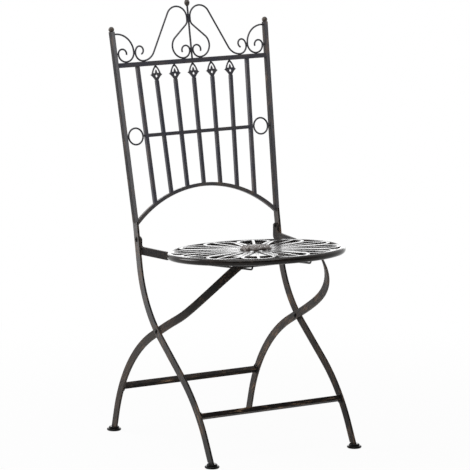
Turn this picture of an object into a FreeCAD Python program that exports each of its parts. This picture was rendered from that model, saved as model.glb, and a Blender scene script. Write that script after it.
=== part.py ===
import FreeCAD, Part
import math
import os
import Sketcher

Vector = FreeCAD.Vector

# Folding garden chair: millimetres and degrees, +Z up, front towards -Y.
# The back is drawn in its own leaning plane: x across, u up from the arch joint.
# The seat is drawn in its own plane: x across, y towards the back, z up from the rim's middle.
SIZES = [
    ("jointY", 144.5, "arch joint, place from front to back"),
    ("jointZ", 499.4, "arch joint, height"),
    ("recline", 10.2, "lean of the back"),
    ("legHalf", 187.0, "middle of the chair to the middle of a front leg"),
    ("stileSplay", 2.1, "outward lean of each stile"),
    ("stileLength", 429.5, "stile from the joint to the ball finial"),
    ("stileWidth", 10.0, "stile tube, across"),
    ("stileWall", 1.5, "stile tube, wall"),
    ("ballDiameter", 13.0, "ball finial"),
    ("spigotLength", 8.0, "finial spigot inside the stile"),
    ("railHeight", 352.4, "top rail, middle, up from the joint"),
    ("railWidth", 10.5, "top rail, height and depth"),
    ("crossHeight", 191.5, "cross rail, middle, up from the joint"),
    ("barWidth", 8.0, "square bars of the back"),
    ("archRise", 70.5, "arch, middle of the bar at the crown"),
    ("archFoot", -1.5, "arch, middle of the bar at the stiles"),
    ("innerTop", 42.2, "plain bar at the top rail, inwards from the leg"),
    ("innerFoot", 55.3, "plain bar at the arch, inwards from the leg"),
    ("spearTop", 49.6, "spear bars, spacing at the top rail"),
    ("spearFoot", 43.6, "spear bars, spacing at the arch"),
    ("spearWidth", 7.5, "spear bars, across"),
    ("headLength", 34.0, "spear head, tip to neck"),
    ("headWing", 15.5, "spear head, middle to wing tip"),
    ("headThick", 3.0, "spear head, depth"),
    ("headHole", 6.0, "spear head, round hole"),
    ("ringDiameter", 41.0, "side ring, outside"),
    ("wireDiameter", 4.0, "scroll, ring and guide wire"),
    ("rodDiameter", 4.4, "crest rod"),
    ("crestRise", 119.4, "crest scroll, middle of the wire at the top, above the rail"),
    ("rodRise", 118.4, "crest rod above the top rail"),
    ("budDiameter", 12.4, "crest bud"),
    ("budHeight", 16.0, "crest bud"),
    ("crestArch", 26.3, "crest scroll, radius of the top arch"),
    ("crestWaist", 6.0, "crest scroll, straight run beside the rod"),
    ("crestNeck", 15.0, "crest scroll, radius below the straight run"),
    ("crestLobe", 27.0, "crest scroll, radius of the heart"),
    ("crestCurl", 17.5, "crest scroll, radius into the inner curl"),
    ("crestEye", 10.3, "crest scroll, radius of the inner curl"),
    ("hookEye", 9.5, "crest scroll, radius of the outer curl"),
    ("hookCurl", 18.5, "crest scroll, radius into the outer curl"),
    ("hookFoot", 33.0, "crest scroll, radius from the rail to the slope"),
    ("cornerSweep", 42.0, "corner scroll, radius at the stile"),
    ("cornerBelly", 21.5, "corner scroll, radius down to the rail"),
    ("cornerCurl", 18.5, "corner scroll, radius into the curl"),
    ("cornerEye", 10.5, "corner scroll, radius of the curl"),
    ("cornerStub", 3.3, "corner scroll, stub between curl and stile"),
    ("legWidth", 18.0, "flat bar of the legs, broad face"),
    ("legThick", 5.0, "flat bar of the legs and arms, thickness"),
    ("legGap", 0.3, "air between bars that turn past each other"),
    ("bendDrop", 190.9, "front leg, joint to the upper bend"),
    ("bendRadius", 250.0, "front leg, upper bend"),
    ("kneeFrontY", -120.3, "front leg, lower bend, place"),
    ("kneeFrontZ", 127.7, "front leg, lower bend, height"),
    ("kneeFrontRadius", 380.0, "front leg, lower bend"),
    ("footFrontY", -182.6, "front foot"),
    ("bendRearY", 59.4, "rear leg, upper bend, behind the glide bar"),
    ("bendRearZ", 90.4, "rear leg, upper bend, below the glide bar"),
    ("bendRearRadius", 363.0, "rear leg, upper bend"),
    ("kneeRearY", 206.7, "rear leg, lower bend, place"),
    ("kneeRearZ", 185.6, "rear leg, lower bend, height"),
    ("kneeRearRadius", 325.0, "rear leg, lower bend"),
    ("footRearY", 256.4, "rear foot"),
    ("drawIn", 37.8, "rear leg, inward slope of its upper end"),
    ("drawInLean", 44.5, "rear leg, rise of its upper end"),
    ("drawInFlat", 10.0, "rear leg, straight length next to the glide bar"),
    ("drawInStep", 16.0, "rear leg, first bend inwards of the plain run"),
    ("drawInRest", 5.8, "rear leg, slope inwards below the first bend"),
    ("drawInRadius", 300.0, "rear leg, bend above the fold rivet"),
    ("footDiameter", 33.0, "foot pad"),
    ("footHeight", 10.0, "foot pad with its collar"),
    ("stretcherWidth", 11.0, "stretchers, height and depth"),
    ("stretcherFrontZ", 103.6, "front stretcher, middle"),
    ("stretcherRearZ", 109.9, "rear stretcher, middle"),
    ("rivetDiameter", 6.0, "rivet shank"),
    ("rivetHead", 12.0, "rivet head, across"),
    ("rivetDome", 3.2, "rivet head, height"),
    ("rivetPlay", 0.05, "air round the shank in the turning bar"),
    ("pivotDrop", 38.5, "joint to the seat rivet, along the leg"),
    ("pivotRise", 30.54, "seat rivet above the rim's middle"),
    ("seatReach", 200.74, "seat rivet to the middle of the seat"),
    ("seatTilt", 4.0, "seat, front edge up"),
    ("seatOverhang", 10.6, "rim's middle line outside the middle of an arm"),
    ("rimDiameter", 15.0, "seat rim tube"),
    ("armWidth", 18.0, "seat arm and lug, broad face"),
    ("lugTop", 5.5, "seat arm, lug above the middle of the seat rivet"),
    ("armSlope", 4.0, "seat arm, rise towards the back"),
    ("armDrop", 1.2, "seat arm, middle below the rim's middle where they meet"),
    ("armAngle", 8.5, "seat arm, turn inwards towards the front"),
    ("armLug", 14.0, "seat arm, seat rivet to the bend in front of it"),
    ("armBend", 25.0, "seat arm, radius of the bend"),
    ("petalThick", 3.0, "seat leaves"),
    ("petalTop", 7.0, "seat leaves, upper face above the rim's middle"),
    ("petalStrip", 7.0, "seat leaves, strip round the edge"),
    ("petalSpoke", 6.0, "seat leaves, middle strip"),
    ("petalEye", 4.5, "seat leaves, radius at the narrow end"),
    ("petalStart", 30.0, "seat leaves, narrow end from the middle"),
    ("petalGap", 1.0, "air between neighbouring leaves"),
    ("weldDepth", 4.5, "leaf tips let into the line of the rim"),
    ("latticeRing", 130.7, "hoop under the leaves, middle radius"),
    ("latticeRingThick", 4.0, "hoop under the leaves, thickness"),
    ("latticeRingHeight", 15.6, "hoop under the leaves, height"),
    ("hoopLap", 2.0, "hoop let into the underside of the leaves"),
    ("rosetteDiameter", 70.0, "rosette"),
    ("rosetteRise", 8.0, "rosette, height in the middle"),
    ("rosetteRim", 3.0, "rosette, height at the edge"),
    ("glideDiameter", 9.0, "glide bar"),
    ("glideHalf", 101.7, "glide bar, half its length"),
    ("glideGap", 0.4, "air round and beside the glide bar"),
    ("guideAngle", 54.3, "where a guide wire meets the hoop, from the side"),
    ("guideSlope", 1.3, "guide wire, lower towards the back"),
    ("guidePlay", 2.2, "guide wire, play below the resting glide bar"),
    ("guideBend", 6.4, "guide wire, rear corner"),
]
PETALS = 12
SPEARS = (-2, -1, 0, 1, 2)
SIDES = (("left", -1), ("right", 1))

doc = FreeCAD.newDocument("FoldingGardenChair")
sheet = doc.addObject("Spreadsheet::Sheet", "Sizes")
for row, (alias, value, note) in enumerate(SIZES, 1):
    sheet.set("A%d" % row, note)
    sheet.set("B%d" % row, str(value))
    sheet.setAlias("B%d" % row, alias)
doc.recompute()
nodes = []


def size(alias):
    return float(sheet.get(alias))


def sind(angle):
    return math.sin(math.radians(angle))


def cosd(angle):
    return math.cos(math.radians(angle))


def tand(angle):
    return math.tan(math.radians(angle))


# Places that several pieces share

recline = size("recline")
splay = size("stileSplay")
legHalf = size("legHalf")
legThick = size("legThick")
legGap = size("legGap")
wireRadius = size("wireDiameter") / 2
innerLayer = legHalf - legThick - legGap
armHalf = innerLayer
plainTop = legHalf - size("innerTop")
plainFoot = legHalf - size("innerFoot")
pivotY = size("jointY") - size("pivotDrop") * sind(recline)
pivotZ = size("jointZ") - size("pivotDrop") * cosd(recline)
tilt = size("seatTilt")
seatY = pivotY - size("seatReach") * cosd(tilt) - size("pivotRise") * sind(tilt)
seatZ = pivotZ + size("seatReach") * sind(tilt) - size("pivotRise") * cosd(tilt)
rimRadius = armHalf + size("seatOverhang")
tubeRadius = size("rimDiameter") / 2
petalBottom = size("petalTop") - size("petalThick")
ringTop = petalBottom + size("hoopLap")
ringBottom = ringTop - size("latticeRingHeight")
glideRadius = size("glideDiameter") / 2
guideHalf = size("latticeRing") * cosd(size("guideAngle"))
guideFront = -size("latticeRing") * sind(size("guideAngle"))
guideTurn = glideRadius + size("glideGap") + wireRadius
glideY = guideFront + guideTurn
glideZ = ringBottom - size("glideGap") - glideRadius
railTop = size("railHeight") + size("railWidth") / 2
railBottom = size("railHeight") - size("railWidth") / 2

PIVOT_Y = "(Sizes.jointY - Sizes.pivotDrop * sin(Sizes.recline))"
PIVOT_Z = "(Sizes.jointZ - Sizes.pivotDrop * cos(Sizes.recline))"
INNER_LAYER = "(Sizes.legHalf - Sizes.legThick - Sizes.legGap)"
SEAT_Y = PIVOT_Y + " - Sizes.seatReach * cos(Sizes.seatTilt) - Sizes.pivotRise * sin(Sizes.seatTilt)"
SEAT_Z = PIVOT_Z + " + Sizes.seatReach * sin(Sizes.seatTilt) - Sizes.pivotRise * cos(Sizes.seatTilt)"
PETAL_BOTTOM = "(Sizes.petalTop - Sizes.petalThick)"


def place(x="0", y="0", z="0", axis="0; 0; 1", angle="0"):
    # A placement written as an expression
    return "placement(vector(%s; %s; %s); rotation(vector(%s); %s))" % (x, y, z, axis, angle)


CHAIR = place()
BACK = place("0", "Sizes.jointY", "Sizes.jointZ", "-1; 0; 0", "Sizes.recline")
SEAT = place("0", SEAT_Y, SEAT_Z, "-1; 0; 0", "Sizes.seatTilt")


def seat_point(y, z):
    # A point of the seat's middle plane (y, z) in the chair's frame
    return (seatY + y * cosd(tilt) + z * sind(tilt), seatZ - y * sind(tilt) + z * cosd(tilt))


def stile_face(u):
    # Inner face of a stile at height u of the back
    return legHalf + u * tand(splay) - size("stileWidth") / 2 / cosd(splay)


# Drawing helpers: points are (first, second) pairs in the plane of the sketch

def line(a, b):
    return Part.LineSegment(Vector(a[0], a[1], 0), Vector(b[0], b[1], 0))


def arc(a, middle, b):
    return Part.Arc(Vector(a[0], a[1], 0), Vector(middle[0], middle[1], 0), Vector(b[0], b[1], 0))


def on_circle(centre, radius, angle):
    return (centre[0] + radius * cosd(angle), centre[1] + radius * sind(angle))


def turn(centre, radius, start, end):
    # Arc about a centre, from one angle to another, either way round
    middle = on_circle(centre, radius, (start + end) / 2)
    return arc(on_circle(centre, radius, start), middle, on_circle(centre, radius, end))


def loop(points):
    return [line(a, b) for a, b in zip(points, points[1:] + points[:1])]


def crossing(a, b, c, d):
    # Where the line through a and b meets the line through c and d
    x1, y1 = b[0] - a[0], b[1] - a[1]
    x2, y2 = d[0] - c[0], d[1] - c[1]
    along = ((c[0] - a[0]) * y2 - (c[1] - a[1]) * x2) / (x1 * y2 - y1 * x2)
    return (a[0] + along * x1, a[1] + along * y1)


def direction(a, b):
    length = math.dist(a, b)
    return ((b[0] - a[0]) / length, (b[1] - a[1]) / length)


def beside(point, along, offset):
    # The point moved to the left of a direction
    return (point[0] - along[1] * offset, point[1] + along[0] * offset)


def bar_side(points, radii, offset):
    # One edge of a bar: the middle line's straight runs and bends, moved sideways.
    # Returns the corner points, in threes at each bend: start, middle and end.
    corners = [beside(points[0], direction(points[0], points[1]), offset)]
    for before, corner, after, radius in zip(points, points[1:], points[2:], radii):
        into = direction(before, corner)
        out = direction(corner, after)
        bend = math.atan2(into[0] * out[1] - into[1] * out[0], into[0] * out[0] + into[1] * out[1])
        reach = radius * math.tan(abs(bend) / 2)
        start = (corner[0] - into[0] * reach, corner[1] - into[1] * reach)
        end = (corner[0] + out[0] * reach, corner[1] + out[1] * reach)
        hand = math.copysign(1, bend)
        centre = beside(start, into, hand * radius)
        half = (into[0] + out[0], into[1] + out[1])
        half = direction((0, 0), half)
        edge = radius - hand * offset
        middle = (centre[0] + hand * half[1] * edge, centre[1] - hand * half[0] * edge)
        corners.append((beside(start, into, offset), middle, beside(end, out, offset)))
    corners.append(beside(points[-1], direction(points[-2], points[-1]), offset))
    return corners


def side_edges(corners):
    # Lines and arcs along one edge of a bar
    edges = []
    here = corners[0]
    for bend in corners[1:-1]:
        edges.append(line(here, bend[0]))
        edges.append(arc(*bend))
        here = bend[2]
    edges.append(line(here, corners[-1]))
    return edges


def bar_outline(points, radii, width, floor=None, round_start=False):
    # Closed outline of a bent flat bar, cut level at the floor if one is given
    one = bar_side(points, radii, width / 2)
    two = bar_side(points, radii, -width / 2)
    if floor is not None:
        for edge in (one, two):
            before = edge[-2][2]
            edge[-1] = crossing(before, edge[-1], (0, floor), (1, floor))
    edges = side_edges(one) + side_edges(two)
    edges.append(line(one[-1], two[-1]))
    if round_start:
        back = direction(points[1], points[0])
        tip = (points[0][0] + back[0] * width / 2, points[0][1] + back[1] * width / 2)
        edges.append(arc(one[0], tip, two[0]))
    else:
        edges.append(line(one[0], two[0]))
    return edges


# Object helpers

def add_body(name, frame=CHAIR):
    body = doc.addObject("PartDesign::Body", name)
    body.Label = name
    body.setExpression("Placement", frame)
    return body


def add_sketch(body, role, edges, circles=()):
    # A sketch on one of the body's own planes; circles have radii bound to the sheet
    sketch = body.newObject("Sketcher::SketchObject", body.Name + "_sketch")
    plane = [item for item in body.Origin.OriginFeatures if item.Role == role][0]
    sketch.AttachmentSupport = (plane, [""])
    sketch.MapMode = "FlatFace"
    sketch.addGeometry(list(edges), False)
    for centre, radius in circles:
        start = sheet.evalExpression(radius)
        middle = Vector(centre[0], centre[1], 0)
        item = sketch.addGeometry(Part.Circle(middle, Vector(0, 0, 1), start), False)
        rule = sketch.addConstraint(Sketcher.Constraint("Radius", item, start))
        sketch.setExpression("Constraints[%d]" % rule, radius)
    return sketch


def pad(body, role, edges, length, circles=(), midplane=True):
    feature = body.newObject("PartDesign::Pad", body.Name + "_pad")
    feature.Profile = add_sketch(body, role, edges, circles)
    feature.setExpression("Length", length)
    feature.Midplane = midplane
    return feature


def pocket(body, role, edges, length, circles=()):
    feature = body.newObject("PartDesign::Pocket", body.Name + "_pocket")
    feature.Profile = add_sketch(body, role, edges, circles)
    feature.setExpression("Length", length)
    feature.Midplane = True
    return feature


def revolve(body, role, edges, axis):
    sketch = add_sketch(body, role, edges)
    feature = body.newObject("PartDesign::Revolution", body.Name + "_turned")
    feature.Profile = sketch
    feature.ReferenceAxis = (sketch, [axis])
    feature.Angle = 360
    return feature


def pipe(body, role, edges):
    # Round wire along a path of lines and tangent arcs
    path = add_sketch(body, role, edges)
    doc.recompute()
    section = body.newObject("Sketcher::SketchObject", body.Name + "_section")
    section.AttachmentSupport = (path, ["Edge1"])
    section.MapMode = "NormalToEdge"
    section.addGeometry(Part.Circle(Vector(0, 0, 0), Vector(0, 0, 1), wireRadius), False)
    section.addConstraint(Sketcher.Constraint("Coincident", 0, 3, -1, 1))
    rule = section.addConstraint(Sketcher.Constraint("Radius", 0, wireRadius))
    section.setExpression("Constraints[%d]" % rule, "Sizes.wireDiameter / 2")
    feature = body.newObject("PartDesign::AdditivePipe", body.Name + "_pipe")
    feature.Profile = section
    feature.Spine = path
    return feature


def peg(body, x, u, length):
    # Short round weld peg across the back, from x towards the right
    feature = body.newObject("PartDesign::AdditiveCylinder", body.Name + "_peg")
    feature.setExpression("Radius", "Sizes.wireDiameter / 2")
    feature.Height = length
    feature.Placement = FreeCAD.Placement(Vector(x, 0, u), FreeCAD.Rotation(Vector(0, 1, 0), 90))
    return feature


def keep(item, label=None):
    if label:
        item.Label = label
    nodes.append(item)
    return item


def cut(label, base, tool):
    item = doc.addObject("Part::Cut", label)
    item.Base = base
    item.Tool = tool
    return keep(item, label)


# Back: stiles with ball finials

def stile_axis(side, along):
    return (side * (legHalf + along * sind(splay)), along * cosd(splay))


def add_stile(name, side):
    # Square tube, level at the leg and square to its own axis at the finial
    body = add_body(name, BACK)
    top = stile_axis(side, size("stileLength"))
    across = (cosd(splay), -side * sind(splay))

    def corners(half):
        level = half / cosd(splay)
        return [(side * legHalf - level, 0), (side * legHalf + level, 0),
                (top[0] + half * across[0], top[1] + half * across[1]),
                (top[0] - half * across[0], top[1] - half * across[1])]

    pad(body, "XZ_Plane", loop(corners(size("stileWidth") / 2)), "Sizes.stileWidth")
    hollow = size("stileWidth") / 2 - size("stileWall")
    pocket(body, "XZ_Plane", loop(corners(hollow)), "Sizes.stileWidth - 2 * Sizes.stileWall")
    return keep(body)


def add_ball(name, side):
    # Ball with a flat seat as wide as the tube's opening needs, and a spigot inside the tube
    top = "%d * (Sizes.legHalf + Sizes.stileLength * sin(Sizes.stileSplay))" % side
    frame = BACK + " * " + place(top, "0", "Sizes.stileLength * cos(Sizes.stileSplay)",
                                 "0; 1; 0", "%d * Sizes.stileSplay" % side)
    body = add_body(name, frame)
    radius = size("ballDiameter") / 2
    seat = size("stileWidth") / 2 - size("stileWall") / 2
    spigot = size("stileWidth") / 2 - size("stileWall") - size("legGap")
    centre = (0, math.sqrt(radius ** 2 - seat ** 2))
    start = math.degrees(math.asin(-centre[1] / radius))
    foot = -size("spigotLength")
    revolve(body, "XZ_Plane", [
        line((0, foot), (spigot, foot)), line((spigot, foot), (spigot, 0)), line((spigot, 0), (seat, 0)),
        turn(centre, radius, start, 90), line(on_circle(centre, radius, 90), (0, foot))], "V_Axis")
    return keep(body)


for word, side in SIDES:
    add_stile("stile_" + word, side)
    add_ball("ball_finial_" + word, side)


# Back: rails, arch and bars

def rail_between(height, half):
    low, high = height - half, height + half
    return loop([(-stile_face(low), low), (stile_face(low), low), (stile_face(high), high),
                 (-stile_face(high), high)])


topRail = add_body("top_rail", BACK)
pad(topRail, "XZ_Plane", rail_between(size("railHeight"), size("railWidth") / 2), "Sizes.railWidth")
keep(topRail)

barHalf = size("barWidth") / 2
archHalf = stile_face(size("archFoot"))
archSag = size("archRise") - size("archFoot")
archRadius = (archHalf ** 2 + archSag ** 2) / (2 * archSag)
archCentre = (0, size("archRise") - archRadius)


def arch_height(x, offset=0.0):
    # Height of the arch above x, on its middle line or moved outwards
    return archCentre[1] + math.sqrt((archRadius + offset) ** 2 - x ** 2)


def arch_end(offset):
    # Where the arch's edge meets the inner face of the right stile
    u = size("archFoot")
    for step in range(20):
        u = arch_height(stile_face(u), offset)
    return (stile_face(u), u)


archRail = add_body("arch_rail", BACK)
outer, inner = arch_end(barHalf), arch_end(-barHalf)
pad(archRail, "XZ_Plane", [
    arc((-outer[0], outer[1]), (0, arch_height(0, barHalf)), outer), line(outer, inner),
    arc(inner, (0, arch_height(0, -barHalf)), (-inner[0], inner[1])),
    line((-inner[0], inner[1]), (-outer[0], outer[1]))], "Sizes.barWidth")
keep(archRail)


def bar_x(top_x, foot_x, u):
    # Middle of a fanned bar at height u; its ends are set at the top rail and at the arch
    foot_u = arch_height(foot_x)
    return foot_x + (top_x - foot_x) * (u - foot_u) / (railBottom - foot_u)


def add_fan_bar(name, top_x, foot_x, top_u, width):
    # Square bar standing on the arch
    body = add_body(name, BACK)
    half = size(width) / 2

    def foot(offset):
        u = arch_height(foot_x, barHalf)
        for step in range(20):
            u = arch_height(bar_x(top_x, foot_x, u) + offset, barHalf)
        return (bar_x(top_x, foot_x, u) + offset, u)

    left, right = foot(-half), foot(half)
    middle = ((left[0] + right[0]) / 2, arch_height((left[0] + right[0]) / 2, barHalf))
    head = bar_x(top_x, foot_x, top_u)
    pad(body, "XZ_Plane", [
        arc(left, middle, right), line(right, (head + half, top_u)),
        line((head + half, top_u), (head - half, top_u)), line((head - half, top_u), left)],
        "Sizes." + width)
    return keep(body)


for word, side in SIDES:
    add_fan_bar("inner_bar_" + word, side * plainTop, side * plainFoot, railBottom, "barWidth")
for number, spot in enumerate(SPEARS, 1):
    add_fan_bar("spear_bar_%d" % number, spot * size("spearTop"), spot * size("spearFoot"),
                railBottom - size("headLength"), "spearWidth")


def add_cross_rail():
    # Short lengths of bar, one in each gap between the fanned bars
    plain = barHalf
    spear = size("spearWidth") / 2
    fan = [(-plainTop, -plainFoot, plain)]
    fan += [(spot * size("spearTop"), spot * size("spearFoot"), spear) for spot in SPEARS]
    fan += [(plainTop, plainFoot, plain)]
    low = size("crossHeight") - barHalf
    high = size("crossHeight") + barHalf
    lengths = []
    for number, (one, two) in enumerate(zip(fan, fan[1:]), 1):

        def span(u):
            return (bar_x(one[0], one[1], u) + one[2], u), (bar_x(two[0], two[1], u) - two[2], u)

        body = add_body("cross_length_%d" % number, BACK)
        corners = span(low) + span(high)[::-1]
        pad(body, "XZ_Plane", loop(list(corners)), "Sizes.barWidth")
        lengths.append(body)
    group = doc.addObject("Part::Compound", "cross_rail")
    group.Links = lengths
    return keep(group, "cross_rail")


add_cross_rail()


# Back: cast spear heads

def add_spear_head(name, spot):
    # Pointed loop with two wings, a drop standing inside the loop and a round hole below
    top_u = railBottom
    neck_u = railBottom - size("headLength")
    middle = bar_x(spot * size("spearTop"), spot * size("spearFoot"), neck_u)
    frame = BACK + " * " + place(repr(middle), "0", repr(top_u))
    body = add_body(name, frame)
    long = size("headLength")
    wing = size("headWing")
    neck = size("spearWidth") / 2
    tip = 0.08 * wing
    shoulder = 0.71 * wing
    outline = [line((-tip, 0), (tip, 0)), line((-neck, -long), (neck, -long))]
    opening = []
    for side in (1, -1):
        bows = [
            ((tip, 0), (0.68 * shoulder, -0.25 * long), (shoulder, -0.5 * long)),
            ((shoulder, -0.5 * long), (0.81 * wing, -0.567 * long), (wing, -0.603 * long)),
            ((wing, -0.603 * long), (0.68 * wing, -0.72 * long), (0.387 * wing, -0.882 * long)),
            ((0.387 * wing, -0.882 * long), (0.29 * wing, -0.945 * long), (neck, -long))]
        drop = [
            ((0, -0.11 * long), (0.33 * wing, -0.28 * long), (0.5 * wing, -0.5 * long)),
            ((0.17 * wing, -0.5 * long), (0.12 * wing, -0.39 * long), (0, -0.27 * long))]
        outline += [arc(*[(side * x, u) for x, u in bow]) for bow in bows]
        opening += [arc(*[(side * x, u) for x, u in bow]) for bow in drop]
        opening.append(line((side * 0.5 * wing, -0.5 * long), (side * 0.17 * wing, -0.5 * long)))
    pad(body, "XZ_Plane", outline, "Sizes.headThick")
    hole = ((0, -0.706 * long), "Sizes.headHole / 2")
    pocket(body, "XZ_Plane", opening, "2 * Sizes.headThick", [hole])
    return keep(body)


for number, spot in enumerate(SPEARS, 1):
    add_spear_head("spear_head_%d" % number, spot)


# Back: side rings and scrolls of round wire

def add_side_ring(name, side):
    # Ring between stile and plain bar, held by a short peg on each side
    u = size("crossHeight")
    stile_x = stile_face(u - wireRadius)
    bar_face = bar_x(plainTop, plainFoot, u + wireRadius) + barHalf
    middle = (stile_x + bar_face) / 2
    radius = size("ringDiameter") / 2 - wireRadius
    body = add_body(name, BACK)
    centre = (side * middle, u)
    pipe(body, "XZ_Plane", [turn(centre, radius, 0, 180), turn(centre, radius, 180, 360)])
    length = stile_x - middle - radius
    peg(body, side * middle + radius, u, length)
    peg(body, side * middle - radius - length, u, length)
    return keep(body)


railLine = railTop + wireRadius
cornerRight = stile_face(railLine + size("cornerCurl")) - size("cornerStub") - wireRadius
cornerFoot = cornerRight - size("cornerCurl")
crestTouch = cornerFoot - size("cornerBelly") - 2 * wireRadius


def tangent_between(one, radius_one, two, radius_two, hand):
    # Straight run between two bends of opposite hand: its angle on the first circle
    gap = math.dist(one, two)
    heading = math.degrees(math.atan2(two[1] - one[1], two[0] - one[0]))
    return heading + hand * math.degrees(math.acos((radius_one + radius_two) / gap))


def corner_scroll_path():
    # From the stile down to the rail and round into a curl beside the stile
    sweep, belly = size("cornerSweep"), size("cornerBelly")
    curl, eye = size("cornerCurl"), size("cornerEye")
    middle_u = railLine + belly
    sweep_centre = (cornerFoot - belly + sweep, middle_u)
    start = 85.0
    for step in range(40):
        edge = sweep + math.copysign(wireRadius, cosd(start))
        point = on_circle(sweep_centre, edge, start)
        start = math.degrees(math.acos((stile_face(point[1]) - sweep_centre[0]) / edge))
    return [
        (sweep_centre, sweep, start, 180), ((cornerFoot, middle_u), belly, 180, 270),
        ((cornerFoot, railLine + curl), curl, 270, 360), ((cornerRight - eye, railLine + curl), eye, 0, 195)]


def crest_scroll_path():
    # Outer curl, slope, top arch, heart and inner curl beside the crest rod
    touch = size("rodDiameter") / 2 + wireRadius
    arch, neck, lobe = size("crestArch"), size("crestNeck"), size("crestLobe")
    curl, eye = size("crestCurl"), size("crestEye")
    hook_eye, hook, foot = size("hookEye"), size("hookCurl"), size("hookFoot")
    arch_centre = (touch + arch, railTop + size("crestRise") - arch)
    neck_centre = (touch + neck, arch_centre[1] - size("crestWaist"))
    lobe_centre = (touch + curl, railLine + lobe)
    curl_centre = (touch + curl, railLine + curl)
    eye_centre = (touch + eye, railLine + curl)
    hook_centre = (crestTouch - hook, railLine + hook)
    foot_centre = (hook_centre[0], railLine + foot)
    join = 38.0
    hook_eye_centre = on_circle(hook_centre, hook - hook_eye, join)
    slope = tangent_between(foot_centre, foot, arch_centre, arch, 1)
    waist = tangent_between(lobe_centre, lobe, neck_centre, neck, -1)
    return [
        (hook_eye_centre, hook_eye, 245, join), (hook_centre, hook, join, -90),
        (foot_centre, foot, 270, slope), (arch_centre, arch, slope - 180, 180),
        (neck_centre, neck, 180, 180 + waist), (lobe_centre, lobe, waist, -90),
        (curl_centre, curl, 270, 180), (eye_centre, eye, 180, -25)]


def bends_to_edges(bends, side):
    # Arcs in order, with a straight run wherever two of them don't meet; the left side is mirrored
    edges = []
    here = None
    for centre, radius, start, end in bends:
        first = on_circle(centre, radius, start)
        last = on_circle(centre, radius, end)
        middle = on_circle(centre, radius, (start + end) / 2)
        points = [(side * x, u) for x, u in (first, middle, last)]
        if here and math.dist(here, points[0]) > 1e-6:
            edges.append(line(here, points[0]))
        edges.append(arc(*points))
        here = points[2]
    return edges


for word, side in SIDES:
    add_side_ring("side_ring_" + word, side)
    corner = add_body("corner_scroll_" + word, BACK)
    pipe(corner, "XZ_Plane", bends_to_edges(corner_scroll_path(), side))
    stubHeight = railLine + size("cornerCurl")
    stubEnd = stile_face(stubHeight - wireRadius)
    stubStart = cornerRight if side > 0 else -stubEnd
    peg(corner, stubStart, stubHeight, stubEnd - cornerRight)
    keep(corner)
    crest = add_body("crest_scroll_" + word, BACK)
    pipe(crest, "XZ_Plane", bends_to_edges(crest_scroll_path(), side))
    keep(crest)

crestRod = doc.addObject("Part::Cylinder", "crest_rod")
crestRod.setExpression("Radius", "Sizes.rodDiameter / 2")
crestRod.setExpression("Height", "Sizes.rodRise")
crestRod.setExpression("Placement", BACK + " * " + place("0", "0", "Sizes.railHeight + Sizes.railWidth / 2"))
keep(crestRod, "crest_rod")


def add_bud(name):
    # Small turned bud on the end of the crest rod
    body = add_body(name, BACK + " * " + place("0", "0", "Sizes.railHeight + Sizes.railWidth / 2 + Sizes.rodRise"))
    wide, tall = size("budDiameter") / 2, size("budHeight")
    neck = size("rodDiameter") / 2
    revolve(body, "XZ_Plane", [
        line((0, 0), (neck, 0)), arc((neck, 0), (0.84 * wide, 0.24 * tall), (wide, 0.52 * tall)),
        arc((wide, 0.52 * tall), (0.72 * wide, 0.82 * tall), (0.12 * wide, tall)),
        line((0.12 * wide, tall), (0, tall)), line((0, tall), (0, 0))], "V_Axis")
    return keep(body)


add_bud("crest_bud")


# Legs: middle lines in the side view, as (y, z)

joint = (size("jointY"), size("jointZ"))
frontBend = (joint[0] - size("bendDrop") * sind(recline), joint[1] - size("bendDrop") * cosd(recline))
frontKnee = (size("kneeFrontY"), size("kneeFrontZ"))
frontLine = [joint, frontBend, frontKnee, (size("footFrontY"), 0)]
frontRadii = [size("bendRadius"), size("kneeFrontRadius")]
glideAxis = seat_point(glideY, glideZ)
rearBend = (glideAxis[0] + size("bendRearY"), glideAxis[1] - size("bendRearZ"))
rearKnee = (size("kneeRearY"), size("kneeRearZ"))
rearLine = [glideAxis, rearBend, rearKnee, (size("footRearY"), 0)]
rearRadii = [size("bendRearRadius"), size("kneeRearRadius")]
foldAxis = crossing(frontBend, frontKnee, rearBend, rearKnee)
seatAxis = (pivotY, pivotZ)


def line_at(points, radii, height):
    # Point of a leg's middle line at a height, and its slope there
    for edge in side_edges(bar_side(points, radii, 0)):
        low, high = edge.FirstParameter, edge.LastParameter
        rise = edge.value(high).y - edge.value(low).y
        if (edge.value(low).y - height) * (edge.value(high).y - height) > 0:
            continue
        for step in range(60):
            middle = (low + high) / 2
            if (edge.value(middle).y < height) == (rise > 0):
                low = middle
            else:
                high = middle
        along = edge.tangent(middle)[0]
        return edge.value(middle), math.degrees(math.atan2(along.y, along.x))


def add_front_leg(name, side):
    body = add_body(name, place("%d * Sizes.legHalf" % side))
    outline = bar_outline(frontLine, frontRadii, size("legWidth"), size("footHeight"))
    holes = [(foldAxis, "Sizes.rivetDiameter / 2"), (seatAxis, "Sizes.rivetDiameter / 2")]
    pad(body, "YZ_Plane", outline, "Sizes.legThick", holes)
    return keep(body)


def add_rear_outline():
    # The rear leg as it is seen from the side
    body = add_body("rear_leg_outline")
    outline = bar_outline(rearLine, rearRadii, size("legWidth"), size("footHeight"), True)
    hole = (foldAxis, "Sizes.rivetDiameter / 2 + Sizes.rivetPlay")
    pad(body, "YZ_Plane", outline, "2 * Sizes.legHalf", [hole])
    return body


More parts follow.
